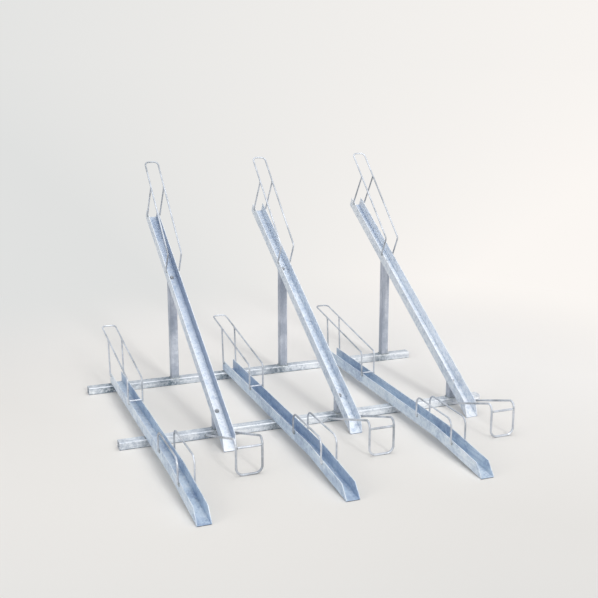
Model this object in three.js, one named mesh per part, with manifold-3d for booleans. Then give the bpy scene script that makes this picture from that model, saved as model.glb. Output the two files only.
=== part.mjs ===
// A two tier bicycle rack of galvanised steel.
// Low and high wheel channels stand in turn on two base rails, so that handlebars clear each other.
// Units are millimetres and +Z is up. X runs across the rack, Y from the entry side to the far side.
import * as THREE from 'three';
import { mergeVertices } from 'three/addons/utils/BufferGeometryUtils.js';
import Module from 'manifold-3d';

const wasm = await Module();
wasm.setup();

// Layout, with Y counted from the tips of the low channels
const placePitch = 300; // from the middle of one channel to the middle of the next
const pairCount = 3; // each pair is a low channel and the high channel to its right
const frontBaseY = 853;
const rearBaseY = 1633;
const fitGap = 0.3; // between pieces that touch
const cutOverrun = 20; // how far a cutter runs past what it cuts

// Base rails, rectangular tube
const baseWidth = 50;
const baseHeight = 36;
const baseWall = 2.6;
const baseCorner = 2; // inside radius of the tube's corners

// Wheel channels, folded from plate
const channelWidth = 60;
const channelHeight = 55;
const channelPlate = 3;
const channelFold = 2.5; // inside radius of the folds
const mouthCut = 51; // how far back the slanted cut of each flange begins
const mouthLip = 10; // height that is left of each flange at the tip

// Low channels: a ramp, then a level run that lies on both base rails
const rampRun = 393;
const rampBend = 150; // radius of the bend at the ramp's head
const lowTail = 2; // past the rear base rail

// High channels: straight, from the floor upwards
const highTilt = THREE.MathUtils.degToRad(30);
const highFootY = 650;
const highLength = 1625;

// Posts under the high channels, square tube with a slanted top and a cap plate
const postSize = 40;
const postWall = 2.3;
const postCorner = 1.5; // inside radius of the tube's corners
const capPlate = 6; // thick enough to hold the bolt's thread

// Round bars
const barRadius = 4;
const hoopBarRadius = 5;

// Wheel loops, counted back from the channel's far end and up from the top of its flanges
const loopCorner = 22; // bend radius at the crown
const loopKnee = 18; // bend radius where the sides turn down to the flanges
const loopWeldLap = 8; // how far the ends of loops and braces reach down the flanges
const lowLoop = {
  kneeBack: 475,
  kneeRise: 112,
  crownReach: 157,
  crownRise: 204,
  braceTopShare: 0.73, // of the side, from knee to crown
  braceFootBack: 27,
};
const highLoop = {
  kneeBack: 490,
  kneeRise: 107,
  crownReach: 112,
  crownRise: 230,
  braceTopShare: 0.72,
  braceFootBack: 42,
};

// Wheel guards on the low channels
const guardFrontY = 250;
const guardRearY = 575;
const guardRise = 80; // above the flanges of the level run
const guardBend = 35;
const guardWeldLap = 14; // how far the guards' ends reach down the flanges

// Stop hoops before the high channels
const hoopSpread = 57; // from the middle to each leg
const hoopFrontY = 380;
const hoopShoulderZ = 166;
const hoopCrossbarZ = 126;
const hoopShoulderBend = 26;
const hoopFootBend = 32;

// Bolts that hold the high channels on their posts, with the head's sizes as shares of the diameter
const boltRadius = 5;
const boltHoleClearance = 0.75; // in the channel's web
const boltTail = 3; // past the cap plate
const headFlatsShare = 1.7;
const headHeightShare = 0.65;
const flangeWidthShare = 2.1;
const flangeThicknessShare = 0.2;

// Facets
const barFacets = 10;
const boltFacets = 12;
const foldFacets = 4;
const bendSteps = 4;

// Worked out from the sizes above
const placeCount = 2 * pairCount;
const baseLength = placeCount * placePitch; // half a pitch past the outer channels
const baseFrontFaceY = frontBaseY - baseWidth / 2;
const levelZ = baseHeight + fitGap; // underside of the low channel's level run
const rampAngle = Math.atan2(levelZ, rampRun);
const lowRearY = rearBaseY + baseWidth / 2 + lowTail;
const barOffset = channelWidth / 2 + fitGap + barRadius; // bars lie against the flanges' outer faces
const across = new THREE.Vector3(1, 0, 0);
const along = new THREE.Vector3(0, 1, 0);

const finishes = {
  channel: { color: '#a8b6c8', roughness: 0.42, metalness: 0.7 },
  tube: { color: '#9aa9bd', roughness: 0.5, metalness: 0.7 },
  bar: { color: '#a7aab0', roughness: 0.38, metalness: 0.8 },
  bolt: { color: '#6f6a66', roughness: 0.5, metalness: 0.8 },
};

// A path of straight runs with a round bend at each inner corner.
// Its stations are the ends of the runs and the steps of the bends, so straight runs stay whole.
class BentPath extends THREE.Curve {
  constructor(corners, side = null) {
    super();
    this.side = side;
    const places = corners.map((corner) => corner.place);
    const headings = places.slice(1).map((place, i) => place.clone().sub(places[i]).normalize());
    this.stations = [{ place: places[0], heading: headings[0] }];
    for (let i = 1; i < places.length - 1; i += 1) {
      this.addBend(places[i], corners[i].radius, headings[i - 1], headings[i]);
    }
    this.stations.push({ place: places.at(-1), heading: headings.at(-1) });
  }

  addBend(corner, radius, before, after) {
    const turn = before.angleTo(after);
    const axis = before.clone().cross(after).normalize();
    const start = corner.clone().addScaledVector(before, -radius * Math.tan(turn / 2));
    const centre = start.clone().addScaledVector(axis.clone().cross(before), radius);
    for (let step = 0; step <= bendSteps; step += 1) {
      const angle = turn * step / bendSteps;
      const place = start.clone().sub(centre).applyAxisAngle(axis, angle).add(centre);
      this.stations.push({ place, heading: before.clone().applyAxisAngle(axis, angle) });
    }
  }

  stationAt(share) {
    return this.stations[Math.round(share * (this.stations.length - 1))];
  }

  getPointAt(share, target = new THREE.Vector3()) {
    return target.copy(this.stationAt(share).place);
  }

  getTangentAt(share, target = new THREE.Vector3()) {
    return target.copy(this.stationAt(share).heading);
  }

  // A section that has an upright keeps its side vector all the way
  computeFrenetFrames(steps, closed) {
    const frames = super.computeFrenetFrames(steps, closed);
    if (this.side) {
      frames.normals = frames.tangents.map(() => this.side.clone());
      frames.binormals = frames.tangents.map((heading) => heading.clone().cross(this.side));
    }
    return frames;
  }
}

function corner(x, y, z, radius = 0) {
  return { place: new THREE.Vector3(x, y, z), radius };
}

function sweep(shape, path, arcFacets) {
  return new THREE.ExtrudeGeometry(shape, {
    steps: path.stations.length - 1,
    extrudePath: path,
    curveSegments: arcFacets / 2,
  });
}

function circle(radius) {
  return new THREE.Shape().absarc(0, 0, radius, 0, 2 * Math.PI);
}

function bar(corners, radius) {
  return sweep(circle(radius), new BentPath(corners), barFacets);
}

// A cut or joined piece, made from closed geometries
function toSolid(geometry) {
  const shell = geometry.clone();
  shell.deleteAttribute('normal');
  shell.deleteAttribute('uv');
  const merged = mergeVertices(shell);
  return new wasm.Manifold(new wasm.Mesh({
    numProp: 3,
    vertProperties: new Float32Array(merged.attributes.position.array),
    triVerts: new Uint32Array(merged.index.array),
  }));
}

function toGeometry(solid) {
  const mesh = solid.getMesh();
  const geometry = new THREE.BufferGeometry();
  geometry.setAttribute('position', new THREE.BufferAttribute(mesh.vertProperties, 3));
  geometry.setIndex(new THREE.BufferAttribute(mesh.triVerts, 1));
  return geometry;
}

function carve(body, cutters) {
  const solids = cutters.map(toSolid);
  return toGeometry(solids.reduce((left, cutter) => left.subtract(cutter), toSolid(body)));
}

function addPiece(parent, name, geometry, finish) {
  const mesh = new THREE.Mesh(geometry, new THREE.MeshStandardMaterial(finishes[finish]));
  mesh.name = name;
  parent.add(mesh);
  return mesh;
}

// Sections

function roundedSquare(width, height, radius) {
  const right = width / 2 - radius;
  const top = height / 2 - radius;
  const shape = new THREE.Shape();
  shape.absarc(right, top, radius, 0, Math.PI / 2);
  shape.absarc(-right, top, radius, Math.PI / 2, Math.PI);
  shape.absarc(-right, -top, radius, Math.PI, 1.5 * Math.PI);
  shape.absarc(right, -top, radius, 1.5 * Math.PI, 2 * Math.PI);
  shape.closePath();
  return shape;
}

function tubeSection(width, height, wall, insideRadius) {
  const section = roundedSquare(width, height, insideRadius + wall);
  section.holes.push(roundedSquare(width - 2 * wall, height - 2 * wall, insideRadius));
  return section;
}

// The web's underside is at height zero, and the flanges stand up from it
function channelSection() {
  const side = channelWidth / 2;
  const outer = channelFold + channelPlate;
  const section = new THREE.Shape();
  section.moveTo(side, channelHeight);
  section.lineTo(side - channelPlate, channelHeight);
  section.absarc(side - outer, outer, channelFold, 0, -Math.PI / 2, true);
  section.absarc(outer - side, outer, channelFold, -Math.PI / 2, -Math.PI, true);
  section.lineTo(channelPlate - side, channelHeight);
  section.lineTo(-side, channelHeight);
  section.absarc(outer - side, outer, outer, Math.PI, 1.5 * Math.PI);
  section.absarc(side - outer, outer, outer, 1.5 * Math.PI, 2 * Math.PI);
  section.closePath();
  return section;
}

// Cuts both flanges on the slant at the channel's lower end, with Y along the channel
function mouthCutter() {
  const slant = new THREE.Vector2(mouthCut, channelHeight - mouthLip).normalize().multiplyScalar(cutOverrun);
  const mouth = new THREE.Shape();
  mouth.moveTo(-slant.x, mouthLip - slant.y);
  mouth.lineTo(mouthCut + slant.x, channelHeight + slant.y);
  mouth.lineTo(-slant.x, channelHeight + slant.y);
  mouth.closePath();
  const reach = channelWidth / 2 + cutOverrun;
  return sweep(mouth, new BentPath([corner(-reach, 0, 0), corner(reach, 0, 0)], along), foldFacets);
}

// A plate of the given outline, lying on height zero, with a round hole in its middle if it has one
function plate(shape, thickness, holeRadius = 0) {
  if (holeRadius) {
    shape.holes.push(new THREE.Path().absarc(0, 0, holeRadius, 0, 2 * Math.PI));
  }
  return new THREE.ExtrudeGeometry(shape, {
    depth: thickness,
    curveSegments: boltFacets / 2,
    bevelEnabled: false,
  });
}

// Base rails

function addBaseRail(name, y) {
  const section = tubeSection(baseWidth, baseHeight, baseWall, baseCorner);
  const start = corner(-baseLength / 2, y, baseHeight / 2);
  const end = corner(baseLength / 2, y, baseHeight / 2);
  addPiece(rack, name, sweep(section, new BentPath([start, end], along), foldFacets), 'tube');
}

// Round bar loops, in the channel's own frame: Y along the channel and Z away from its web

function addWheelLoop(parent, tier, number, farEnd, flangeTop, loop) {
  const kneeY = farEnd - loop.kneeBack;
  const kneeZ = flangeTop + loop.kneeRise;
  const crownY = farEnd + loop.crownReach;
  const crownZ = flangeTop + loop.crownRise;
  const endZ = flangeTop - loopWeldLap;
  const corners = [
    corner(-barOffset, kneeY, endZ),
    corner(-barOffset, kneeY, kneeZ, loopKnee),
    corner(-barOffset, crownY, crownZ, loopCorner),
    corner(barOffset, crownY, crownZ, loopCorner),
    corner(barOffset, kneeY, kneeZ, loopKnee),
    corner(barOffset, kneeY, endZ),
  ];
  addPiece(parent, `${tier}_loop_${number}`, bar(corners, barRadius), 'bar');

  const braceTopY = kneeY + (crownY - kneeY) * loop.braceTopShare;
  const braceTopZ = kneeZ + (crownZ - kneeZ) * loop.braceTopShare;
  const loopCutter = bar(corners, barRadius + fitGap);
  for (const [side, x] of [['left', -barOffset], ['right', barOffset]]) {
    const top = corner(x, braceTopY, braceTopZ);
    const foot = corner(x, farEnd - loop.braceFootBack, endZ);
    const brace = carve(bar([top, foot], barRadius), [loopCutter]);
    addPiece(parent, `${tier}_loop_brace_${side}_${number}`, brace, 'bar');
  }
}

// Low places

function lowFlangeTop(y) {
  if (y < rampRun) {
    return y * Math.tan(rampAngle) + channelHeight / Math.cos(rampAngle);
  }
  return levelZ + channelHeight;
}

function lowChannel() {
  const corners = [
    corner(0, 0, 0),
    corner(0, rampRun, levelZ, rampBend),
    corner(0, lowRearY, levelZ),
  ];
  const channel = sweep(channelSection(), new BentPath(corners, across.clone().negate()), foldFacets);
  return carve(channel, [mouthCutter().rotateX(rampAngle)]);
}

function guard(x) {
  const topZ = levelZ + channelHeight + guardRise;
  return bar([
    corner(x, guardRearY, lowFlangeTop(guardRearY) - guardWeldLap),
    corner(x, guardRearY, topZ, guardBend),
    corner(x, guardFrontY, topZ, guardBend),
    corner(x, guardFrontY, lowFlangeTop(guardFrontY) - guardWeldLap),
  ], barRadius);
}

function addLowPlace(number, middleX) {
  const place = new THREE.Group();
  place.position.x = middleX;
  rack.add(place);
  addPiece(place, `low_channel_${number}`, lowChannel(), 'channel');
  addWheelLoop(place, 'low', number, lowRearY, levelZ + channelHeight, lowLoop);
  const crossbarY = lowRearY - lowLoop.kneeBack;
  const crossbarZ = levelZ + channelHeight + fitGap + barRadius;
  const halfBar = channelWidth / 2;
  const crossbarEnds = [-halfBar, halfBar].map((x) => corner(x, crossbarY, crossbarZ));
  addPiece(place, `low_loop_crossbar_${number}`, bar(crossbarEnds, barRadius), 'bar');
  addPiece(place, `wheel_guard_left_${number}`, guard(-barOffset), 'bar');
  addPiece(place, `wheel_guard_right_${number}`, guard(barOffset), 'bar');
}

// High places

// Height of a plane parallel to the high channel, with its distance from the web's underside
function slantZ(y, distance) {
  return (y - highFootY) * Math.tan(highTilt) + distance / Math.cos(highTilt);
}

// Place along the high channel of the cap plate whose underside is centred over a post
function capAlong(postY) {
  return (postY - highFootY - (fitGap + capPlate) * Math.sin(highTilt)) / Math.cos(highTilt);
}

function post(postY) {
  const footZ = baseHeight + fitGap;
  const topGap = -(2 * fitGap + capPlate);
  const headZ = slantZ(postY + postSize / 2, topGap) + cutOverrun;
  const path = new BentPath([corner(0, postY, footZ), corner(0, postY, headZ)], across);
  const tube = sweep(tubeSection(postSize, postSize, postWall, postCorner), path, foldFacets);
  const reach = 2 * (postSize + cutOverrun);
  const cutter = new THREE.BoxGeometry(reach, reach, reach);
  cutter.translate(0, 0, reach / 2);
  cutter.rotateX(highTilt);
  cutter.translate(0, postY, slantZ(postY, topGap));
  return carve(tube, [cutter]);
}

function cap() {
  const halfWidth = postSize / 2;
  const halfLength = halfWidth / Math.cos(highTilt);
  const outline = new THREE.Shape();
  outline.moveTo(-halfWidth, -halfLength);
  outline.lineTo(halfWidth, -halfLength);
  outline.lineTo(halfWidth, halfLength);
  outline.lineTo(-halfWidth, halfLength);
  outline.closePath();
  return plate(outline, capPlate, boltRadius + fitGap);
}

function hexagon(flats) {
  const radius = flats / Math.sqrt(3);
  const shape = new THREE.Shape();
  for (let i = 0; i < 6; i += 1) {
    const angle = i * Math.PI / 3;
    shape.lineTo(radius * Math.cos(angle), radius * Math.sin(angle));
  }
  shape.closePath();
  return shape;
}

// A flanged hexagon bolt, through the web whose underside is at height zero and the cap plate under it
function bolt() {
  const diameter = 2 * boltRadius;
  const seatZ = channelPlate + fitGap;
  const tipZ = -(2 * fitGap + capPlate + boltTail);
  const flange = plate(circle(flangeWidthShare * boltRadius), flangeThicknessShare * diameter);
  const head = plate(hexagon(headFlatsShare * diameter), headHeightShare * diameter);
  const shank = plate(circle(boltRadius), seatZ + flangeThicknessShare * diameter - tipZ);
  flange.translate(0, 0, seatZ);
  head.translate(0, 0, seatZ);
  shank.translate(0, 0, tipZ);
  return toGeometry(toSolid(shank).add(toSolid(flange)).add(toSolid(head)));
}

function highChannel() {
  const path = new BentPath([corner(0, 0, 0), corner(0, highLength, 0)], across.clone().negate());
  const holes = [frontBaseY, rearBaseY].map((postY) => {
    const cutter = plate(circle(boltRadius + boltHoleClearance), channelHeight);
    return cutter.translate(0, capAlong(postY), -channelHeight / 2);
  });
  return carve(sweep(channelSection(), path, foldFacets), [mouthCutter(), ...holes]);
}

function stopHoop() {
  const armZ = baseHeight / 2;
  const slope = (hoopShoulderZ - armZ) / (baseFrontFaceY - hoopFrontY);
  const rootY = baseFrontFaceY + cutOverrun;
  const rootZ = armZ - cutOverrun * slope;
  const corners = [
    corner(-hoopSpread, rootY, rootZ),
    corner(-hoopSpread, hoopFrontY, hoopShoulderZ, hoopShoulderBend),
    corner(-hoopSpread, hoopFrontY, hoopBarRadius, hoopFootBend),
    corner(hoopSpread, hoopFrontY, hoopBarRadius, hoopFootBend),
    corner(hoopSpread, hoopFrontY, hoopShoulderZ, hoopShoulderBend),
    corner(hoopSpread, rootY, rootZ),
  ];
  const reach = 2 * (hoopSpread + cutOverrun);
  const faceCutter = new THREE.BoxGeometry(reach, reach, reach);
  faceCutter.translate(0, baseFrontFaceY - fitGap + reach / 2, armZ);
  return carve(bar(corners, hoopBarRadius), [faceCutter]);
}

function addHighPlace(number, middleX) {
  const place = new THREE.Group();
  place.position.x = middleX;
  rack.add(place);
  const slope = new THREE.Group();
  slope.position.y = highFootY;
  slope.rotation.x = highTilt;
  place.add(slope);
  addPiece(slope, `high_channel_${number}`, highChannel(), 'channel');
  addWheelLoop(slope, 'high', number, highLength, channelHeight, highLoop);
  for (const [end, postY] of [['front', frontBaseY], ['rear', rearBaseY]]) {
    addPiece(place, `${end}_post_${number}`, post(postY), 'tube');
    const capMesh = addPiece(slope, `${end}_post_cap_${number}`, cap(), 'tube');
    capMesh.position.set(0, capAlong(postY), -fitGap - capPlate);
    const boltMesh = addPiece(slope, `${end}_post_bolt_${number}`, bolt(), 'bolt');
    boltMesh.position.y = capAlong(postY);
  }
  addPiece(place, `stop_hoop_${number}`, stopHoop(), 'bar');
  const halfBar = hoopSpread - hoopBarRadius - fitGap;
  const crossbarEnds = [-halfBar, halfBar].map((x) => corner(x, hoopFrontY, hoopCrossbarZ));
  addPiece(place, `stop_hoop_crossbar_${number}`, bar(crossbarEnds, hoopBarRadius), 'bar');
}

// Assembly

const rack = new THREE.Group();
const placeX = (index) => (index - (placeCount - 1) / 2) * placePitch;
for (let pair = 0; pair < pairCount; pair += 1) {
  addLowPlace(pair + 1, placeX(2 * pair));
  addHighPlace(pair + 1, placeX(2 * pair + 1));
}
addBaseRail('base_rail_front', frontBaseY);
addBaseRail('base_rail_rear', rearBaseY);

// The origin is the middle of the floor under the rack
const bounds = new THREE.Box3().setFromObject(rack, true);
const middle = bounds.getCenter(new THREE.Vector3());
rack.position.set(-middle.x, -middle.y, -bounds.min.z);

export default rack;
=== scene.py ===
import math

import bpy
import numpy as np
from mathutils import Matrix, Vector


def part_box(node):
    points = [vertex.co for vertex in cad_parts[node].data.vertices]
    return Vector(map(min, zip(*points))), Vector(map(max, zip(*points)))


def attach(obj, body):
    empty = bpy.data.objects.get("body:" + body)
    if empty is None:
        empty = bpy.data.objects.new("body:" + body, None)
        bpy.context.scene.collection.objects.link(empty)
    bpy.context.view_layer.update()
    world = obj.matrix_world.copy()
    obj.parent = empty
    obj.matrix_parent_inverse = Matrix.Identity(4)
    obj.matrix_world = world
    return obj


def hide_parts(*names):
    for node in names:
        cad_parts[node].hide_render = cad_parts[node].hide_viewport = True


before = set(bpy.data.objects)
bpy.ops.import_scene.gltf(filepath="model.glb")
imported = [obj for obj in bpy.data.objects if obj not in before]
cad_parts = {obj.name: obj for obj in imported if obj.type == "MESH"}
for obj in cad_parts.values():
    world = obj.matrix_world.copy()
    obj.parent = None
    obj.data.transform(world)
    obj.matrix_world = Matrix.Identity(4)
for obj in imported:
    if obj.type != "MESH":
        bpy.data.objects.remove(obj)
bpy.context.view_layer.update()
print("frame loaded:", len(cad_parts), "nodes")

places = (1, 2, 3)  # numbers of the low places and of the high ones, from left to right
seeds = dict(low=0, high=100)
fitGap = 0.0003  # between pieces that touch
lipWidth = 0.0012  # band beside each rounded edge that keeps the broad faces flat
leastBend = 0.0002  # of a tube's corner, however far its section is drawn in
tilt = math.radians(30)  # of the high channels
across = np.array([1.0, 0.0, 0.0])
along = np.array([0.0, 1.0, 0.0])
upward = np.array([0.0, 0.0, 1.0])
slopeY = np.array([0.0, math.cos(tilt), math.sin(tilt)])  # up along a high channel
slopeZ = np.array([0.0, -math.sin(tilt), math.cos(tilt)])  # away from its web

# Camera, as fitted to the photograph

view = dict(
    place=(-1.66848, -4.43331, 1.74439),
    yaw=math.radians(20.79),  # from +Y towards +X
    pitch=math.radians(-14.06),
    lens=62.32,
    sensor=36.0,
)


def addObject(name, contents):
    thing = bpy.data.objects.new(name, contents)
    bpy.context.scene.collection.objects.link(thing)
    return thing


# Places a camera or a light that looks along the given yaw and pitch
def aim(thing, place, yaw, pitch):
    thing.location = place
    thing.rotation_euler = (math.pi / 2 + pitch, 0, -yaw)


def addCamera():
    lens = bpy.data.cameras.new("camera")
    lens.lens = view["lens"]
    lens.sensor_width = view["sensor"]
    camera = addObject("camera", lens)
    aim(camera, view["place"], view["yaw"], view["pitch"])
    bpy.context.scene.camera = camera


addCamera()
print("camera placed")

# Node helpers: a kind is named without its first part. An input is a value or another node's output.


def addNode(tree, kind, inputs=None, **settings):
    node = tree.nodes.new("ShaderNode" + kind)
    for name, value in settings.items():
        setattr(node, name, value)
    for name, value in (inputs or {}).items():
        if isinstance(value, bpy.types.NodeSocket):
            tree.links.new(value, node.inputs[name])
        else:
            node.inputs[name].default_value = value
    return node


def mixColours(tree, share, first, second):
    return addNode(tree, "Mix", {0: share, 6: first, 7: second}, data_type="RGBA").outputs[2]


def mixNumbers(tree, share, first, second):
    return addNode(tree, "Mix", {0: share, 2: first, 3: second}, data_type="FLOAT").outputs[0]


def mapRange(tree, value, low, high, newLow=0.0, newHigh=1.0, **settings):
    inputs = {"Value": value, "From Min": low, "From Max": high, "To Min": newLow, "To Max": newHigh}
    return addNode(tree, "MapRange", inputs, **settings).outputs["Result"]


def calculate(tree, operation, *values):
    return addNode(tree, "Math", dict(enumerate(values)), operation=operation).outputs[0]


def combine(tree, operation, *vectors):
    return addNode(tree, "VectorMath", dict(enumerate(vectors)), operation=operation).outputs


def mapPlace(tree, place, change, amount):
    return addNode(tree, "Mapping", {"Vector": place, change: amount}).outputs["Vector"]


def addNoise(tree, place, scale, detail, roughness=0.5, output="Fac"):
    inputs = {"Vector": place, "Scale": scale, "Detail": detail, "Roughness": roughness}
    return addNode(tree, "TexNoise", inputs).outputs[output]


def addCells(tree, place, scale):
    return addNode(tree, "TexVoronoi", {"Vector": place, "Scale": scale}).outputs


# One of a colour's three numbers
def colourPart(tree, colour, part):
    return addNode(tree, "SeparateColor", {"Color": colour}).outputs[part]


def fromHex(text):
    parts = np.array([int(text[i : i + 2], 16) / 255 for i in (1, 3, 5)])
    linear = np.where(parts <= 0.04045, parts / 12.92, ((parts + 0.055) / 1.055) ** 2.4)
    return (*linear.tolist(), 1.0)


def startMaterial(name):
    material = bpy.data.materials.new(name)
    material.use_nodes = True
    material.node_tree.nodes.clear()
    return material, material.node_tree


def finishMetal(tree, look, strength, colour, rough, height):
    relief = {"Strength": strength, "Distance": look["bump"], "Height": height}
    normal = addNode(tree, "Bump", relief).outputs["Normal"]
    inputs = {"Base Color": colour, "Metallic": look["metallic"], "Roughness": rough, "Normal": normal}
    surface = addNode(tree, "BsdfPrincipled", inputs).outputs["BSDF"]
    addNode(tree, "OutputMaterial", {"Surface": surface})


# Galvanised steel: crystals of zinc, broad clouds of dull and bright metal, and runs along the piece

plainZinc = dict(
    dull="#6d7b80", mottle=0.0, turn=(0, 0, 0), crystal=75, crystalShare=0.45, runShare=0.3, bump=0.00010,
    metallic=0.3, rough=(0.42, 0.62),
)
# each finish says what differs from plain zinc
zincLooks = {
    # the low channel finish is bluer than the high one for painted shade in the level insides; its dull tone
    # is that shade
    "lowChannelZinc": dict(pale="#e4edf5", mid="#cbdae8", deep="#98abc6", dull="#5f83b4"),
    # the high channel finish is the same zinc made paler for painted light on the sloped webs; its dull tone
    # is painted shade
    "highChannelZinc": dict(
        pale="#f1f5f9", mid="#e2e9f1", deep="#b4c2d4", dull="#5f7ea6", turn=(-tilt, 0, 0), crystalShare=0.7,
        bump=0.00008,
    ),
    # the rails' finish is paler than the posts' for painted light on their faces; its dull tone holds weld
    # stains and painted shadow
    "railZinc": dict(
        pale="#f1f4f7", mid="#dfe4ea", deep="#96a2b1", dull="#6b7a86", mottle=0.65,
        turn=(0, 0, math.pi / 2), runShare=0.45,
    ),
    "postZinc": dict(
        pale="#d6dbe4", mid="#bbc1cd", deep="#a0a8b7", mottle=1.0, turn=(math.pi / 2, 0, 0),
        crystalShare=0.3, runShare=0.7,
    ),
    "barZinc": dict(
        pale="#dbdfe5", mid="#c5cad2", deep="#9fa4ab", crystal=110, crystalShare=0.05, runShare=0.2,
        bump=0.00001, metallic=0.6, rough=(0.38, 0.50),
    ),
    "weldZinc": dict(
        pale="#f2f4f5", mid="#a5adb0", deep="#5b6567", crystal=260, crystalShare=0.7, bump=0.00030
    ),
}
# the pattern that all zinc has; a span is the part of a pattern's range that the tone runs over
zincSurface = dict(
    bendScale=1.7, bendDetail=3.0, bendReach=0.012, fineCrystal=2.6, fineShare=0.4,
    cloudScale=7.0, cloudDetail=6.0, cloudRoughness=0.62, cloudSpan=(0.34, 0.66),
    toneStops=(0.12, 0.5, 0.88), runAcross=85.0, runAlong=2.2, runDetail=4.0, runSpan=(0.45, 0.62),
    grainScale=900.0, grainDetail=2.0,
    speckScale=95.0, speckSpan=(0.20, 0.5), speckRarity=0.86, speckShare=0.55,
    mottleScale=70.0, mottleDetail=5.0, mottleSpan=(0.42, 0.58), gleamSpan=(0.2, 0.8), leastGleam=0.45,
    dullClouds=0.5, dullSpan=(0.2, 0.8), grainRelief=0.3, runRelief=0.8, crystalRelief=0.4,
    # the last two tones are the painted highlight and the painted dark line at a channel's cut edge
    bumpStrength=0.7, bright="#fbfcfe", paintedEdgeShadow="#5f666d",
)


def galvanised(name, look):
    size = zincSurface
    material, tree = startMaterial(name)
    place = addNode(tree, "TexCoord").outputs["Object"]
    turned = mapPlace(tree, place, "Rotation", look["turn"])

    # crystals: each cell of a bent Voronoi pattern has a tone of its own, and so have finer cells over it
    drift = addNoise(tree, turned, look["crystal"] * size["bendScale"], size["bendDetail"], output="Color")
    bend = combine(tree, "MULTIPLY", drift, (size["bendReach"],) * 3)[0]
    bent = combine(tree, "ADD", turned, bend)[0]
    cellTone = colourPart(tree, addCells(tree, bent, look["crystal"])["Color"], 0)
    fineTone = colourPart(tree, addCells(tree, bent, look["crystal"] * size["fineCrystal"])["Color"], 1)
    crystal = mixNumbers(tree, size["fineShare"], cellTone, fineTone)

    # clouds, runs and grain
    clouds = addNoise(tree, turned, size["cloudScale"], size["cloudDetail"], size["cloudRoughness"])
    runPlace = mapPlace(tree, turned, "Scale", (size["runAcross"], size["runAlong"], size["runAcross"]))
    runs = addNoise(tree, runPlace, 1.0, size["runDetail"])
    grain = addNoise(tree, turned, size["grainScale"], size["grainDetail"])

    # colour: deep to mid to pale by cloud and crystal, then darker in the runs and in a few specks
    cloudTone = mapRange(tree, clouds, *size["cloudSpan"])
    mixed = mixNumbers(tree, look["crystalShare"], cloudTone, crystal)
    ramp = addNode(tree, "ValToRGB", {"Fac": mixed})
    stops = ramp.color_ramp.elements
    stops.new(size["toneStops"][1])
    for index, tone in enumerate(("deep", "mid", "pale")):
        stops[index].position = size["toneStops"][index]
        stops[index].color = fromHex(look[tone])
    runTone = mapRange(tree, runs, *size["runSpan"], 0.0, look["runShare"])
    streaked = mixColours(tree, runTone, ramp.outputs["Color"], fromHex(look["deep"]))
    specks = addCells(tree, bent, size["speckScale"])
    rare = calculate(tree, "GREATER_THAN", colourPart(tree, specks["Color"], 2), size["speckRarity"])
    reach = mapRange(tree, specks["Distance"], *size["speckSpan"], size["speckShare"], 0.0)
    specked = mixColours(tree, calculate(tree, "MULTIPLY", rare, reach), streaked, fromHex(look["deep"]))

    # the piece's own shade: a painted highlight below zero; above it even painted shade in a channel,
    # and mottled weld stains on rails and posts, which on the rails hold the channels' painted shadow too;
    # from one to two the painted dark line at a channel's cut edge
    shade = addNode(tree, "Attribute", attribute_name="shade").outputs["Fac"]
    patches = addNoise(tree, place, size["mottleScale"], size["mottleDetail"])
    patch = mapRange(tree, patches, *size["mottleSpan"], 1 - look["mottle"], 1.0)
    shadedAndStained = mixColours(tree, calculate(tree, "MULTIPLY", shade, patch), specked, fromHex(look["dull"]))
    edgeShadowShare = mapRange(tree, shade, 1.0, 2.0)
    paintedEdgeShadow = mixColours(tree, edgeShadowShare, shadedAndStained, fromHex(size["paintedEdgeShadow"]))
    highlightShare = mapRange(tree, shade, 0.0, -1.0)
    evenness = mapRange(tree, mixed, *size["gleamSpan"], size["leastGleam"], 1.0)
    colour = mixColours(tree, calculate(tree, "MULTIPLY", highlightShare, evenness), paintedEdgeShadow, fromHex(size["bright"]))

    # dull and bright crystals, fine grain and soft waves of the zinc
    dull = mixNumbers(tree, size["dullClouds"], crystal, clouds)
    rough = mapRange(tree, dull, *size["dullSpan"], *look["rough"])
    relief = calculate(tree, "MULTIPLY", grain, size["grainRelief"])
    waves = calculate(tree, "MULTIPLY_ADD", runs, size["runRelief"], relief)
    height = calculate(tree, "MULTIPLY_ADD", crystal, size["crystalRelief"], waves)
    finishMetal(tree, look, size["bumpStrength"], colour, rough, height)
    return material


finishes = {name: galvanised(name, {**plainZinc, **look}) for name, look in zincLooks.items()}
print("zinc finishes made:", len(finishes))

# The bolts' zinc plate has dulled to a warm dark grey

boltLook = dict(
    dark="#7f8285", light="#b0b2b5", toneSpan=(0.35, 0.65), cloudScale=160.0, cloudDetail=5.0,
    grainScale=1400.0, grainDetail=2.0, dullSpan=(0.3, 0.7), rough=(0.6, 0.4), metallic=0.6, bump=0.00008,
    bumpStrength=0.5,
)


def boltSteel():
    look = boltLook
    material, tree = startMaterial("boltSteel")
    place = addNode(tree, "TexCoord").outputs["Object"]
    clouds = addNoise(tree, place, look["cloudScale"], look["cloudDetail"])
    grain = addNoise(tree, place, look["grainScale"], look["grainDetail"])
    tone = mapRange(tree, clouds, *look["toneSpan"])
    colour = mixColours(tree, tone, fromHex(look["dark"]), fromHex(look["light"]))
    rough = mapRange(tree, clouds, *look["dullSpan"], *look["rough"])
    finishMetal(tree, look, look["bumpStrength"], colour, rough, grain)
    return material


finishes["boltSteel"] = boltSteel()
print("bolt steel made")

# Paths: a path holds points, headings, side vectors and the run from its start, one row per station


def unit(vector):
    return vector / np.linalg.norm(vector, axis=-1, keepdims=True)


# The run to a point is the sum of the straight steps before it
def runsOf(points):
    return np.append(0.0, np.cumsum(np.linalg.norm(np.diff(points, axis=0), axis=1)))


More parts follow.
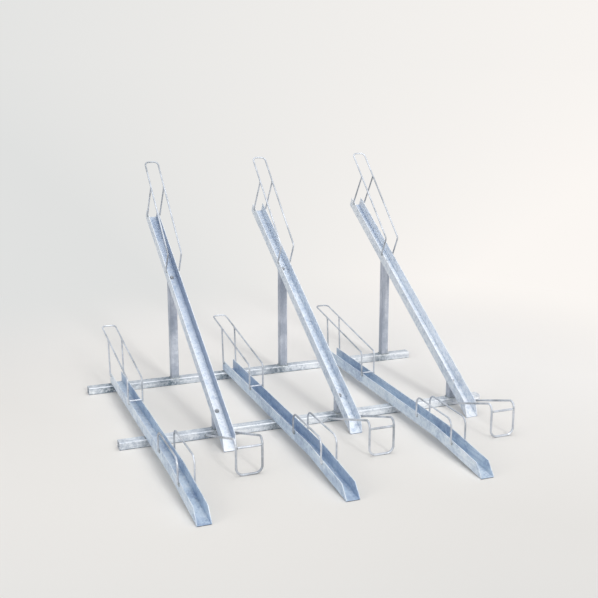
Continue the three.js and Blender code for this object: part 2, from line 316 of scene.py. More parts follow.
# Straight runs joined by round bends. In a bend the point turns about the bend's centre by even angles,
# and the side vector turns with it about the bend's own axis.
def bentPath(corners, radii, side, bendSteps=14):
    corners = np.asarray(corners, float)
    heading = unit(corners[1] - corners[0])
    points, headings, sides = [corners[:1]], [heading[None]], [side[None]]
    for before, corner, after, radius in zip(corners, corners[1:], corners[2:], radii):
        heading, nextHeading = unit(corner - before), unit(after - corner)
        turn = math.acos(np.clip(heading @ nextHeading, -1, 1))
        axis = unit(np.cross(heading, nextHeading))
        inward = np.cross(axis, heading)
        start = corner - heading * radius * math.tan(turn / 2)
        angle = np.linspace(0, turn, bendSteps + 1)[:, None]
        cosine, sine = np.cos(angle), np.sin(angle)
        points.append(start + radius * (sine * heading + (1 - cosine) * inward))
        headings.append(cosine * heading + sine * inward)
        sides.append(side * cosine + np.cross(axis, side) * sine + axis * (axis @ side) * (1 - cosine))
        side = sides[-1][-1]
    points = np.concatenate(points + [corners[-1:]])
    headings = np.concatenate(headings + [unit(corners[-1] - corners[-2])[None]])
    sides = np.concatenate(sides + [side[None]])
    return dict(points=points, headings=headings, sides=sides, runs=runsOf(points))


# A path's stations at the given runs, by even interpolation between their neighbours
def stationsAt(path, runs):
    points, headings, sides = (
        np.stack([np.interp(runs, path["runs"], path[key][:, i]) for i in range(3)], 1)
        for key in ("points", "headings", "sides")
    )
    return dict(points=points, headings=unit(headings), sides=unit(sides), runs=runs)


# Rounding of an end: at angle a of a quarter turn the station is edge (1 - cos a) in from the end,
# and the section there is drawn in by edge (1 - sin a)
def roundedRun(edge, rim, steps=3):
    angle = np.linspace(0, math.pi / 2, steps + 1)
    distance = edge * (1 - np.cos(angle))
    inset = edge * (1 - np.sin(angle))
    if rim:
        distance = np.concatenate([[0.0], distance])
        inset = np.concatenate([[edge + rim], inset])
    return np.append(distance, edge + lipWidth), np.append(inset, 0.0)


# The path with both ends rounded, and the inset of the section at each station
def withRoundedEnds(path, edge, rim=0.0):
    distance, inset = roundedRun(edge, rim)
    inner = path["runs"][1:-1]
    runs = np.concatenate([distance, inner, (path["runs"][-1] - distance)[::-1]])
    return stationsAt(path, runs), np.concatenate([inset, np.zeros(len(inner)), inset[::-1]])


# A section carried along a path: point (i, j) is the path's point i, plus the section's first number
# along the side vector and its second along the vector square to side and heading
def carry(path, section):
    upright = np.cross(path["sides"], path["headings"])
    return (
        path["points"][:, None]
        + path["sides"][:, None] * section[..., :1]
        + upright[:, None] * section[..., 1:]
    )


# Faces of a grid of points, closed round each row and, if asked, from the last row to the first
def gridFaces(rows, columns, closedRows=False):
    row = np.arange(rows if closedRows else rows - 1)[:, None]
    column = np.arange(columns)[None, :]
    nextRow, nextColumn = (row + 1) % rows, (column + 1) % columns
    corners = [
        row * columns + column, nextRow * columns + column,
        nextRow * columns + nextColumn, row * columns + nextColumn,
    ]
    return np.stack([np.broadcast_to(c, (len(row), columns)) for c in corners], -1).reshape(-1, 4)


# Triangles from each side of a ring of points to one middle point
def fanFaces(first, columns, middle):
    ring = np.arange(columns)
    return np.stack([first + ring, first + (ring + 1) % columns, np.full(columns, middle)], 1)


# A shell is (points, faces). The ends of a convex section are closed by a fan round a middle point.
def closedShell(grid):
    rows, columns = grid.shape[:2]
    points = np.concatenate([grid.reshape(-1, 3), grid[:1].mean(1), grid[-1:].mean(1)])
    startFan = fanFaces(0, columns, rows * columns)
    endFan = fanFaces((rows - 1) * columns, columns, rows * columns + 1)[:, [1, 0, 2]]
    return points, gridFaces(rows, columns).tolist() + startFan.tolist() + endFan.tolist()


# The ends of a folded section are closed by strips between its outer and its inner line
def foldedShell(grid):
    rows, columns = grid.shape[:2]
    outer = np.arange(columns // 2 - 1)
    inner = columns - 1 - outer
    strip = np.stack([outer, outer + 1, inner - 1, inner], 1)
    endStrip = (rows - 1) * columns + strip[:, ::-1]
    return grid.reshape(-1, 3), gridFaces(rows, columns).tolist() + strip.tolist() + endStrip.tolist()


# A surface that runs back into itself needs no ends
def ringShell(grid):
    return grid.reshape(-1, 3), gridFaces(*grid.shape[:2], closedRows=True).tolist()


# Several shells become one mesh in one finish, which rides on the rack and may stand for CAD nodes
def addPiece(name, shells, finish, *nodes, shade=None):
    counts = np.cumsum([0] + [len(points) for points, _ in shells])
    points = np.concatenate([points for points, _ in shells])
    faces = [[k + base for k in face] for base, (_, shell) in zip(counts, shells) for face in shell]
    mesh = bpy.data.meshes.new(name)
    mesh.from_pydata(points.tolist(), [], faces)
    mesh.polygons.foreach_set("use_smooth", np.ones(len(faces), bool))
    mesh.materials.append(finishes[finish])
    if shade is not None:
        mesh.attributes.new("shade", "FLOAT", "POINT").data.foreach_set("value", shade.ravel())
    mesh.update()
    piece = addObject(name, mesh)
    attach(piece, "root")
    if nodes:
        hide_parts(*nodes)


# Sections, one ring for each inset, counter-clockwise seen along the heading


# An arc about (x, y) of the given radius, each of which may change from row to row
def arc(x, y, radius, start, end, steps):
    angle = np.radians(np.linspace(start, end, steps + 1))[None, :]
    x, y, radius = (np.atleast_1d(v)[:, None] for v in (x, y, radius))
    return np.stack(np.broadcast_arrays(x + radius * np.cos(angle), y + radius * np.sin(angle)), -1)


# The point (x, y), which may move from row to row
def spot(x, y):
    return np.stack(np.broadcast_arrays(*(np.atleast_1d(v)[:, None] for v in (x, y))), -1)


def joinRing(parts):
    rows = max(len(part) for part in parts)
    return np.concatenate([np.broadcast_to(part, (rows, *part.shape[1:])) for part in parts], 1)


def wholeTurn(sides):
    return np.arange(sides) * 2 * math.pi / sides


# A circle of the radius less the inset
def circleRing(radius, insets, sides=24):
    angle = wholeTurn(sides)
    reach = radius - insets[:, None]
    return np.stack([reach * np.cos(angle), reach * np.sin(angle)], -1)


# A rectangle whose four corners are quarter circles, drawn in by the inset
def rectangleRing(width, height, radius, insets, cornerSteps=6):
    right, top, bend = width / 2 - insets, height / 2 - insets, np.maximum(radius - insets, leastBend)
    x, y = right - bend, top - bend
    band = np.minimum(lipWidth, bend)
    return joinRing([
        spot(right, -y + band), spot(right, y - band), arc(x, y, bend, 0, 90, cornerSteps),
        spot(x - band, top), spot(-x + band, top), arc(-x, y, bend, 90, 180, cornerSteps),
        spot(-right, y - band), spot(-right, -y + band), arc(-x, -y, bend, 180, 270, cornerSteps),
        spot(-x + band, -top), spot(x - band, -top), arc(x, -y, bend, 270, 360, cornerSteps),
    ])


# A folded channel: down the left flange, across the web and up the right flange on the outside, and back
# on the inside. The flanges' tops are at the given heights, and every free edge is rounded.
def channelRing(size, heights, insets, edgeSteps=4, foldSteps=8):
    half, plate, edge, band = size["width"] / 2 - insets, size["plate"], size["edge"], lipWidth
    inner = size["width"] / 2 - plate + insets
    top, web = heights - insets, plate - insets
    outerBend, innerBend = size["fold"] + plate - insets, size["fold"] + insets
    outerRise, innerRise = insets + outerBend, web + innerBend
    return joinRing([
        arc(-half + edge, top - edge, edge, 90, 180, edgeSteps), spot(-half, top - edge - band),
        spot(-half, outerRise + band), arc(-half + outerBend, outerRise, outerBend, 180, 270, foldSteps),
        spot(-half + outerBend + band, insets), spot(half - outerBend - band, insets),
        arc(half - outerBend, outerRise, outerBend, 270, 360, foldSteps), spot(half, outerRise + band),
        spot(half, top - edge - band), arc(half - edge, top - edge, edge, 0, 90, edgeSteps),
        arc(inner + edge, top - edge, edge, 90, 180, edgeSteps), spot(inner, top - edge - band),
        spot(inner, innerRise + band), arc(inner - innerBend, innerRise, innerBend, 360, 270, foldSteps),
        spot(inner - innerBend - band, web), spot(-inner + innerBend + band, web),
        arc(-inner + innerBend, innerRise, innerBend, 270, 180, foldSteps), spot(-inner, innerRise + band),
        spot(-inner, top - edge - band), arc(-inner - edge, top - edge, edge, 0, 90, edgeSteps),
    ])


# Round bars, with their sawn ends rounded by the zinc

barSize = dict(thin=0.004, thick=0.005, edge=0.0008, rimShare=1 / 3, loopLap=0.008, guardLap=0.014)


# A circle carried along a bent path. Its side vector lies across the rack, or upright where the bar does.
def bar(corners, radii, radius):
    heading = unit(np.subtract(corners[1], corners[0]))
    side = upward if np.allclose(abs(heading), across) else across
    side = unit(side - heading * (side @ heading))
    rim = radius * barSize["rimShare"]
    path, insets = withRoundedEnds(bentPath(corners, radii, side), barSize["edge"], rim)
    return closedShell(carry(path, circleRing(radius, insets)))


def addBar(name, node, corners, radii, radius):
    addPiece(name, [bar(corners, radii, radius)], "barZinc", node)


# Weld beads: a blob's section carried along a line. Its radius falls a little along each of the scallops
# that the welder laid one over the other, wanders by a smooth random share and runs out at its ends.

beadSize = dict(
    scallop=0.0026, scallopShare=0.16, wanderShare=0.12, wanderEvery=5, driftShare=0.15, driftEvery=7,
    leastKnots=4, leastStations=8, endPower=7, endShare=0.12, flatness=0.8, sides=12, step=0.0007,
    lapSteps=12, lapReach=0.3, lapSink=0.35, collarSteps=32, leastSlant=0.3, collarShare=0.9,
    headingNudge=0.01, upwardNudge=0.001,
)
weldRadius = dict(lap=0.0030, collar=0.0020, foot=0.0042, cap=0.0024, seat=0.0040)


# Even interpolation between random knots, the last of which equals the first
def smoothRandom(random, count, every):
    values = random.uniform(-1, 1, max(beadSize["leastKnots"], count // every))
    values[-1] = values[0]
    return np.interp(np.linspace(0, 1, count), np.linspace(0, 1, len(values)), values)


def bead(line, radius, normal, random, closed=False):
    size = beadSize
    line = np.asarray(line, float)
    if closed:
        line = np.concatenate([line, line[:1]])
    steps = runsOf(line)
    runs = np.linspace(0, steps[-1], max(size["leastStations"], int(steps[-1] / size["step"])))
    points = np.stack([np.interp(runs, steps, line[:, i]) for i in range(3)], 1)
    if closed:
        points, runs = points[:-1], runs[:-1]
        headings = unit(np.roll(points, -1, 0) - np.roll(points, 1, 0))
    else:
        headings = unit(np.gradient(points, axis=0))
    sides = unit(np.cross(headings, normal))
    count = len(points)
    phase = (runs / size["scallop"]) % 1
    reach = radius * (1 - size["scallopShare"] * phase)
    reach = reach * (1 + size["wanderShare"] * smoothRandom(random, count, size["wanderEvery"]))
    drift = radius * size["driftShare"] * smoothRandom(random, count, size["driftEvery"])
    points = points + sides * drift[:, None]
    if not closed:
        share = np.linspace(-1, 1, count)
        reach = reach * np.maximum(1 - np.abs(share) ** size["endPower"], 0.0) ** 0.5
        reach = np.maximum(reach, radius * size["endShare"])
    path = dict(points=points, headings=headings, sides=sides, runs=runs)
    angle = wholeTurn(size["sides"])
    reach = reach[:, None]
    grid = carry(path, np.stack([reach * np.cos(angle), size["flatness"] * reach * np.sin(angle)], -1))
    return ringShell(grid) if closed else closedShell(grid)


# A bead round a bar's lapped end on a plate: up one side, round the end and down the other side
def lapBead(end, back, away, length, radius, random):
    sideways, beadRadius = np.cross(back, away), weldRadius["lap"]
    angle = np.linspace(0, math.pi, beadSize["lapSteps"] + 1)[:, None]
    reach = radius + beadRadius * beadSize["lapReach"]
    turn = end + reach * (np.cos(angle) * sideways - np.sin(angle) * back)
    line = np.concatenate([turn[:1] + back * length, turn, turn[-1:] + back * length])
    return bead(line - away * (radius - beadRadius * beadSize["lapSink"]), beadRadius, away, random)


# A bead round a bar where it meets a face that is square to the given normal: the bar's circle, stretched
# by its slant. The two nudges give a bar that is square to the face a side vector too.
def collarBead(centre, heading, normal, radius, beadRadius, random):
    size = beadSize
    nudged = normal + heading * size["headingNudge"] + upward * size["upwardNudge"]
    side = unit(np.cross(heading, nudged))
    other = unit(np.cross(normal, side))
    stretch = 1 / max(abs(heading @ normal), size["leastSlant"])
    angle = np.linspace(0, 2 * math.pi, size["collarSteps"], endpoint=False)[:, None]
    line = centre + radius * (np.cos(angle) * side + stretch * np.sin(angle) * other)
    return bead(line, beadRadius, normal, random, closed=True)


# A straight bar between two others. What comes back is the beads at its ends.
def addCrossbar(name, node, ends, radius, random):
    addBar(name, node, ends, [], radius)
    reach, beadRadius = radius * beadSize["collarShare"], weldRadius["collar"]
    return [
        collarBead(end + normal * fitGap, normal, normal, reach, beadRadius, random)
        for end, normal in zip(ends, (-across, across))
    ]


# Base rails: rectangular tube, open at both ends

railSize = dict(wall=0.0026, corner=0.002, edge=0.0006, stations=280)


# A straight tube whose surface runs along the outside, round the end, back through the bore and round again
def hollowShell(start, end, side, width, height, size, lean=0.0):
    start, end = np.asarray(start, float), np.asarray(end, float)
    length = np.linalg.norm(end - start)
    distance, inset = roundedRun(size["edge"], 0.0)
    wall = size["wall"]
    inner = distance[-1] + (length - 2 * distance[-1]) * np.linspace(0, 1, size["stations"] + 2)[1:-1]
    flat = np.zeros_like(inner)
    runs = np.concatenate([distance, inner, (length - distance)[::-1], length - distance, distance[::-1]])
    insets = np.concatenate([inset, flat, inset[::-1], wall - inset, (wall - inset)[::-1]])
    heading = unit(end - start)
    path = dict(
        points=start + runs[:, None] * heading, headings=np.tile(heading, (len(runs), 1)),
        sides=np.tile(side, (len(runs), 1)), runs=runs,
    )
    grid = carry(path, rectangleRing(width, height, size["corner"] + wall, insets))
    # a slanted end: each point rises by its run's share of the lean, times how far back it lies
    grid = grid + heading * ((runs / length)[:, None] * (grid - start)[..., 1] * lean)[..., None]
    return ringShell(grid)


# the rails' weld stains lie a little to the left of the channels, so that they paint the channels' shadow on
# the rails too
stainSize = dict(railShare=0.9, railReach=0.048, railShadowShift=0.030, postShare=0.45, postReach=0.030)
# a painted highlight on the rails' upper rounded edges and painted contact shade on the lower ones
edgeShade = dict(upper=-0.55, lower=0.9, wallShare=0.9)
# the rails' painted light and shade at the left end, the middle and the right end
railLightAndShade = dict(front=(-0.50, 0.08, -0.9), rear=(0.35, 0.10, -0.15))
crossings = np.array([
    sum(corner.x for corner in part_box(f"{tier}_channel_{number}")) / 2
    for tier in ("low", "high") for number in places
])


# The stain round a weld falls off from its middle by a bell curve of the given reach
def stainBy(distance, share, reach):
    return share * np.exp(-((distance / reach) ** 2))


# A rail's shade: painted light and shade that runs evenly between the two ends and the middle, weld stains a
# little to the left of the channels that paint the channels' shadow too, and of the four rounded edges a
# painted highlight on the upper ones and painted contact shade on the lower ones
def railShade(points, middle, rail, ends):
    # each stain is moved to the left, as the channels' painted shadow
    nearest = np.abs(points[:, :1] - crossings + stainSize["railShadowShift"]).min(1)
    left, right = points[:, 0].min(), points[:, 0].max()
    # painted light and shade that runs evenly along the rail
    plain = np.interp(points[:, 0], [left, (left + right) / 2, right], ends)
    shade = np.minimum(plain + stainBy(nearest, stainSize["railShare"], stainSize["railReach"]), 1.0)
    bend = railSize["corner"] + railSize["wall"] * edgeShade["wallShare"]
    beside = np.abs(points[:, 1] - middle[1]) > rail["width"] / 2 - bend
    rise = (points[:, 2] - middle[2]) - (rail["height"] / 2 - bend)
    drop = (middle[2] - points[:, 2]) - (rail["height"] / 2 - bend)
    # painted highlight on the upper edges, painted contact shade on the lower ones
    shade = np.where(beside & (rise > 0), edgeShade["upper"], shade)
    return np.where(beside & (drop > 0), edgeShade["lower"], shade)


def addRail(end):
    node = f"base_rail_{end}"
    low, high = (np.array(v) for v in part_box(node))
    middle = (low + high) / 2
    rail = dict(y=middle[1], front=low[1], top=high[2], width=high[1] - low[1], height=high[2] - low[2])
    ends = [(edge[0], middle[1], middle[2]) for edge in (low, high)]
    shell = hollowShell(*ends, along, rail["width"], rail["height"], railSize)
    shade = railShade(shell[0], middle, rail, railLightAndShade[end])
    addPiece(f"baseRail.{end}", [shell], "railZinc", node, shade=shade)
    return rail


rails = {end: addRail(end) for end in ("front", "rear")}
print("base rails made")

# Low places: a folded channel from the floor over both rails, its loop, crossbar, braces and guards

channelSize = dict(
    width=0.060, height=0.055, plate=0.003, fold=0.0025, edge=0.0008, mouthCut=0.051, mouthLip=0.010,
    stations=24,
)
# the channels' painted light and shade from left to right, with web and outside at the mouth, the middle and
# the far end
# painted shade on the flanges' insides and in the folds, a painted highlight on the rims, a painted dark
# line at the mouth
plainShade = dict(slope=0.0, flange=0.0, fold=0.3, rim=-0.6, mouth=2.0)
lowShades = [
    dict(
        web=(0.15, -0.40, -0.20), outside=(-0.1, -0.2, -0.6), slope=-0.15, flange=0.05, fold=0.2, rim=-0.45
    ),
    dict(web=(0.15, 0.10, 0.20), outside=(0.1, 0.0, 0.0), slope=0.1, flange=0.15),
    dict(web=(-0.15, 0.05, 0.15), outside=(-0.2, -0.1, 0.0)),
]
highShades = [
    dict(web=(-0.8, 0.22, 0.35), outside=(0.25, 0.0, -0.2), slope=0.1, flange=0.45, mouth=1.7),
    dict(web=(-0.3, 0.0, 0.25), outside=(0.1, 0.0, 0.0), fold=0.35, mouth=1.2),
    dict(
        web=(-0.9, -0.3, 0.35), outside=(0.0, -0.1, -0.3), slope=0.1, flange=-0.55, fold=0.9, rim=-0.7,
        mouth=0.3,
    ),
]
lowRun = dict(rampRun=0.393, rampBend=0.150)
lowLoop = dict(
    kneeBack=0.475, kneeRise=0.112, crownReach=0.157, crownRise=0.204, braceTopShare=0.73,
    braceFootBack=0.027,
)
highLoop = dict(
    kneeBack=0.490, kneeRise=0.107, crownReach=0.112, crownRise=0.230, braceTopShare=0.72,
    braceFootBack=0.042,
)
loopBend = dict(corner=0.022, knee=0.018, braceWeld=0.75)
guardSize = dict(frontY=0.250, rearY=0.575, rise=0.080, bend=0.035, weldShare=0.8)
seatWeld = dict(railShare=0.34, plateShare=0.6, outward=0.0012, rise=0.0008)
barOffset = channelSize["width"] / 2 + fitGap + barSize["thin"]


# A folded channel along its path. At the mouth the flanges' height grows from the lip by an even slant.
# The painted light and shade of web and outside run evenly from the mouth to the middle and on to the far
# end.
# On the inside the web's painted shade passes into the flanges' over the height of the fold, with a sine of
# the fold's own painted crease shade on top, and across the web it rises evenly to the right. The flanges'
# rims have a painted highlight and the plate's cut at the mouth a painted dark line.
def addChannel(name, path, finish, shades, node):
    size, length, shades = channelSize, path["runs"][-1], {**plainShade, **shades}
    stations = np.append(np.linspace(0, length, size["stations"])[1:-1], size["mouthCut"])
    path, insets = withRoundedEnds(stationsAt(path, np.union1d(path["runs"], stations)), size["edge"])
    rise = (size["height"] - size["mouthLip"]) * path["runs"] / size["mouthCut"]
    heights = np.minimum(size["mouthLip"] + rise, size["height"])
    ring = channelRing(size, heights, insets)
    share = path["runs"] / path["runs"][-1]
    web, outside = (np.interp(share, [0, 0.5, 1], shades[key])[:, None] for key in ("web", "outside"))
    # painted shade: darker flanges and a darker fold on the inside, and the web's painted light and shade
    # across it
    climb = np.clip((ring[..., 1] - size["plate"]) / size["fold"], 0, 1)
    shade = web + (shades["flange"] - web) * climb + shades["fold"] * np.sin(math.pi * climb)
    shade = shade + shades["slope"] * ring[..., 0] / (size["width"] / 2) * (1 - climb)
    inside = np.arange(ring.shape[1]) >= ring.shape[1] // 2
    shade = np.where(inside, shade, outside)
    # a painted highlight along the flanges' rims
    rimBand = size["edge"] * 1.01  # a hair more than the edge, so that its lowest points count
    shade = np.where(ring[..., 1] > (heights - insets)[:, None] - rimBand, shades["rim"], shade)
    # a painted dark line on the plate's cut at the mouth
    mouth = (path["runs"][:, None] < size["edge"]) & (ring[..., 1] < size["plate"])
    shade = np.where(mouth, shades["mouth"], shade)
    addPiece(name, [foldedShell(carry(path, ring))], finish, node, shade=shade)


# A wheel loop with its two braces and their welds. Points are (across, along, away from the web) in the
# channel's own frame, and place() puts them into the rack's.
def wheelLoop(tier, number, place, farEnd, flangeTop, loop, random):
    kneeY, kneeZ = farEnd - loop["kneeBack"], flangeTop + loop["kneeRise"]
    crownY, crownZ = farEnd + loop["crownReach"], flangeTop + loop["crownRise"]
    endZ = flangeTop - barSize["loopLap"]
    x, thin = barOffset, barSize["thin"]
    corners = place([
        (-x, kneeY, endZ), (-x, kneeY, kneeZ), (-x, crownY, crownZ),
        (x, crownY, crownZ), (x, kneeY, kneeZ), (x, kneeY, endZ),
    ])
    radii = [loopBend["knee"], loopBend["corner"], loopBend["corner"], loopBend["knee"]]
    addBar(f"{tier}WheelLoop.{number}", f"{tier}_loop_{number}", corners, radii, thin)

    # a direction of the channel's own frame, in the rack's
    def turned(vector):
        return place([vector])[0] - place([(0, 0, 0)])[0]

    share = loop["braceTopShare"]
    rise = unit(np.array([0.0, crownY - kneeY, crownZ - kneeZ]))
    welds = []
    for side, sign in (("left", -1), ("right", 1)):
        top = np.array([sign * x, kneeY + (crownY - kneeY) * share, kneeZ + (crownZ - kneeZ) * share])
        foot = np.array([sign * x, farEnd - loop["braceFootBack"], endZ])
        heading = unit(top - foot)
        square = np.cross(rise, across)
        square = square * np.sign(square @ -heading)
        reach = (thin + fitGap) / abs(heading @ square)
        addBar(
            f"{tier}LoopBrace.{side}.{number}", f"{tier}_loop_brace_{side}_{number}",
            place([foot, top - heading * reach]), [], thin,
        )
        lap = barSize["loopLap"]
        for end, back in ((foot, heading), (np.array([sign * x, kneeY, endZ]), upward)):
            welds.append(lapBead(place([end])[0], turned(back), sign * across, lap, thin, random))
        welds.append(collarBead(
            place([top + square * (thin * loopBend["braceWeld"])])[0], turned(heading), turned(square),
            thin * beadSize["collarShare"], weldRadius["collar"], random,
        ))
    return welds


def addLowPlace(number):
    random = np.random.default_rng(seeds["low"] + number)
    node = f"low_channel_{number}"
    low, high = (np.array(v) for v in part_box(node))
    middleX, farEnd, flangeTop = (low[0] + high[0]) / 2, high[1], high[2]
    levelZ = flangeTop - channelSize["height"]
    rampRun, half, thin = lowRun["rampRun"], channelSize["width"] / 2, barSize["thin"]
    rampAngle = math.atan2(levelZ, rampRun)
    tipY = low[1] + channelSize["mouthLip"] * math.sin(rampAngle)

    def place(points):
        return np.asarray(points, float) + (middleX, 0, 0)

    corners = place([(0, tipY, 0), (0, tipY + rampRun, levelZ), (0, farEnd, levelZ)])
    path = bentPath(corners, [lowRun["rampBend"]], across)
    addChannel(f"lowChannel.{number}", path, "lowChannelZinc", lowShades[number - 1], node)
    welds = wheelLoop("low", number, place, farEnd, flangeTop, lowLoop, random)

    # the crossbar lies on both flanges between the loop's legs
    barY, barZ = farEnd - lowLoop["kneeBack"], flangeTop + fitGap + thin
    ends = place([(-half, barY, barZ), (half, barY, barZ)])
    welds += addCrossbar(f"loopCrossbar.{number}", f"low_loop_crossbar_{number}", ends, thin, random)

    # height of the flanges' rims at a distance from the tip
    def flangeAt(y):
        if y >= rampRun:
            return flangeTop
        return y * math.tan(rampAngle) + channelSize["height"] / math.cos(rampAngle)

    # guards: a staple of bar on each flange
    guardTop = flangeTop + guardSize["rise"]
    for side, sign in (("left", -1), ("right", 1)):
        x, bends = sign * barOffset, [guardSize["bend"]] * 2
        rear, front = (
            (x, tipY + guardSize[key], flangeAt(guardSize[key]) - barSize["guardLap"])
            for key in ("rearY", "frontY")
        )
        corners = place([rear, (x, rear[1], guardTop), (x, front[1], guardTop), front])
        addBar(f"wheelGuard.{side}.{number}", f"wheel_guard_{side}_{number}", corners, bends, thin)
        lap = barSize["guardLap"] * guardSize["weldShare"]
        for leg in place([rear, front]):
            welds.append(lapBead(leg, upward, sign * across, lap, thin, random))
        # the channel's seat on each base rail
        for rail in rails.values():
            reach = rail["width"] * seatWeld["railShare"]
            seatX = sign * (half - channelSize["plate"] * seatWeld["plateShare"])
            line = place([(seatX, rail["y"] - reach, levelZ), (seatX, rail["y"] + reach, levelZ)])
            line = line + (sign * seatWeld["outward"], 0, seatWeld["rise"])
            welds.append(bead(line, weldRadius["seat"], upward, random))
    addPiece(f"lowWelds.{number}", welds, "weldZinc")


for number in places:
    addLowPlace(number)
print("low places made")

# High places: a straight channel on a slope, two posts with caps and bolts, its loop and its stop hoop

postSize = dict(width=0.040, wall=0.0023, corner=0.0015, edge=0.0006, stations=60)
postWeld = dict(outset=0.002, bend=0.0045, cornerSteps=4)
capSize = dict(thickness=0.006, corner=0.0012, edge=0.0007, rim=0.003)
hoopSize = dict(spread=0.057, shoulderZ=0.166, crossbarZ=0.126, shoulderBend=0.026, footBend=0.032)
boltSize = dict(
    radius=0.005, sides=72, flatsShare=1.7, headShare=0.65, flangeShare=2.1, flangeThickShare=0.2,
    chamferShare=0.12, dishShare=0.06, tail=0.003, tailReach=0.8, tailChamfer=0.2,
    flangeProfile=((1.0, 0.3), (1.0, 0.6), (0.97, 0.8)),  # shares of the flange's radius and thickness
    coneSlope=0.28, rootReach=1.04, rootRise=0.5, topRows=7, topReach=1.05, topFall=1.44, topDrop=0.62,
    faceReach=0.78, dishReach=0.70,
)


# A flanged hexagon bolt. Its radius is a function of angle and height: at a height on the head it is the
# hexagon's, flats / (2 cos a) with a measured from the middle of the nearest flat, but never more than a
# cone that rounds the top corners; on the flange it is a cone, and below the seat the plain shank.
def boltShell(place, seat):
    size, radius = boltSize, boltSize["radius"]
    flats, headTop = size["flatsShare"] * 2 * radius, size["headShare"] * 2 * radius
    flangeRadius, flangeTop = size["flangeShare"] * radius, size["flangeThickShare"] * 2 * radius
    flat, chamfer, dish = flats / 2, size["chamferShare"] * flats, size["dishShare"] * 2 * radius
    angle = wholeTurn(size["sides"])
    nearest = (angle + math.pi / 6) % (math.pi / 3) - math.pi / 6
    hexagon = flat / np.cos(nearest)
    tailZ = -(channelSize["plate"] + 3 * fitGap + capSize["thickness"] + size["tail"])
    coneZ = flangeTop + (flangeRadius - hexagon) * size["coneSlope"]
    rows = [
        (radius * size["tailReach"], tailZ), (radius, tailZ + radius * size["tailChamfer"]),
        (radius, 0.0), (flangeRadius - dish, 0.0),
    ]
    rows += [(flangeRadius * reach, flangeTop * rise) for reach, rise in size["flangeProfile"]]
    rows += [(hexagon * size["rootReach"], coneZ), (hexagon, coneZ + dish * size["rootRise"])]
    for share in np.linspace(0, 1, size["topRows"]):
        limit = flat + (flats / math.sqrt(3) - flat) * size["topReach"] - share * size["topFall"] * chamfer
        rows.append((np.minimum(hexagon, limit), headTop - chamfer * (1 - share) * size["topDrop"]))
    rows += [(flat * size["faceReach"], headTop), (flat * size["dishReach"], headTop - dish)]
    reach, height = (np.array([np.broadcast_to(row[k], angle.shape) for row in rows]) for k in (0, 1))
    # the angle runs clockwise seen along the bolt's axis, so each row is turned round
    local = np.stack([reach * np.cos(angle), reach * np.sin(angle), height + seat], -1)[:, ::-1]
    return closedShell(place(local.reshape(-1, 3)).reshape(local.shape))


# A post with its cap and its bolt. What comes back is the beads round its foot and under its cap. The
# slanted top's middle lies half a width of slope below its highest edge.
def addPost(end, number, place, middleX, footY, random):
    rail, width = rails[end], postSize["width"]
    postY, footZ = rail["y"], rail["top"] + fitGap
    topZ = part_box(f"{end}_post_{number}")[1].z - width / 2 * math.tan(tilt)
    ends = [(middleX, postY, z) for z in (footZ, topZ)]
    shell = hollowShell(*ends, across, width, width, postSize, math.tan(tilt))
    shade = stainBy(shell[0][:, 2] - footZ, stainSize["postShare"], stainSize["postReach"])
    addPiece(f"post.{end}.{number}", [shell], "postZinc", f"{end}_post_{number}", shade=shade)

    capLow, capHigh = (np.array(v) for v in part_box(f"{end}_post_cap_{number}"))
    capMiddle = (capLow + capHigh) / 2
    halfPlate = slopeZ * capSize["thickness"] / 2
    capPath = bentPath([capMiddle - halfPlate, capMiddle + halfPlate], [], slopeY)
    capPath, capInsets = withRoundedEnds(capPath, capSize["edge"], capSize["rim"])
    ring = rectangleRing(width / math.cos(tilt), width, capSize["corner"], capInsets)
    cap = closedShell(carry(capPath, ring))
    addPiece(f"postCap.{end}.{number}", [cap], "postZinc", f"{end}_post_cap_{number}")

    # the bolt's own place along the channel, from its cap plate
    boltAlong = (capMiddle - (middleX, footY, 0)) @ slopeY

    def onWeb(points):
        return place(np.asarray(points) + (0, boltAlong, 0))

    bolt = boltShell(onWeb, channelSize["plate"] + fitGap)
    addPiece(f"postBolt.{end}.{number}", [bolt], "boltSteel", f"{end}_post_bolt_{number}")
    outer = width + postWeld["outset"]
    ring = rectangleRing(outer, outer, postWeld["bend"], np.zeros(1), postWeld["cornerSteps"])[0]
    x, y = middleX + ring[:, 0], postY + ring[:, 1]
    foot = np.stack([x, y, np.full(len(ring), footZ)], 1)
    head = np.stack([x, y, topZ + ring[:, 1] * math.tan(tilt)], 1)
    return [
        bead(foot, weldRadius["foot"], upward, random, closed=True),
        bead(head, weldRadius["cap"], slopeZ, random, closed=True),
    ]


# A stop hoop: arms from the front rail, up to the shoulders and down to the floor, with a bar across
def addStopHoop(number, middleX, random):
    thick, spread, shoulderZ = barSize["thick"], hoopSize["spread"], hoopSize["shoulderZ"]
    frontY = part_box(f"stop_hoop_{number}")[0].y + thick
    faceY, armZ = rails["front"]["front"] - fitGap, rails["front"]["height"] / 2
    corners = np.array([
        (-spread, faceY, armZ), (-spread, frontY, shoulderZ), (-spread, frontY, thick),
        (spread, frontY, thick), (spread, frontY, shoulderZ), (spread, faceY, armZ),
    ]) + (middleX, 0, 0)
    radii = [hoopSize["shoulderBend"], hoopSize["footBend"], hoopSize["footBend"], hoopSize["shoulderBend"]]
    addBar(f"stopHoop.{number}", f"stop_hoop_{number}", corners, radii, thick)
    heading = unit(corners[1] - corners[0])
    beadRadius = weldRadius["lap"]
    welds = [collarBead(end, heading, -along, thick, beadRadius, random) for end in corners[[0, -1]]]
    half, barZ = spread - thick - fitGap, hoopSize["crossbarZ"]
    ends = np.array([(-half, frontY, barZ), (half, frontY, barZ)]) + (middleX, 0, 0)
    node = f"stop_hoop_crossbar_{number}"
    return welds + addCrossbar(f"hoopCrossbar.{number}", node, ends, thick, random)


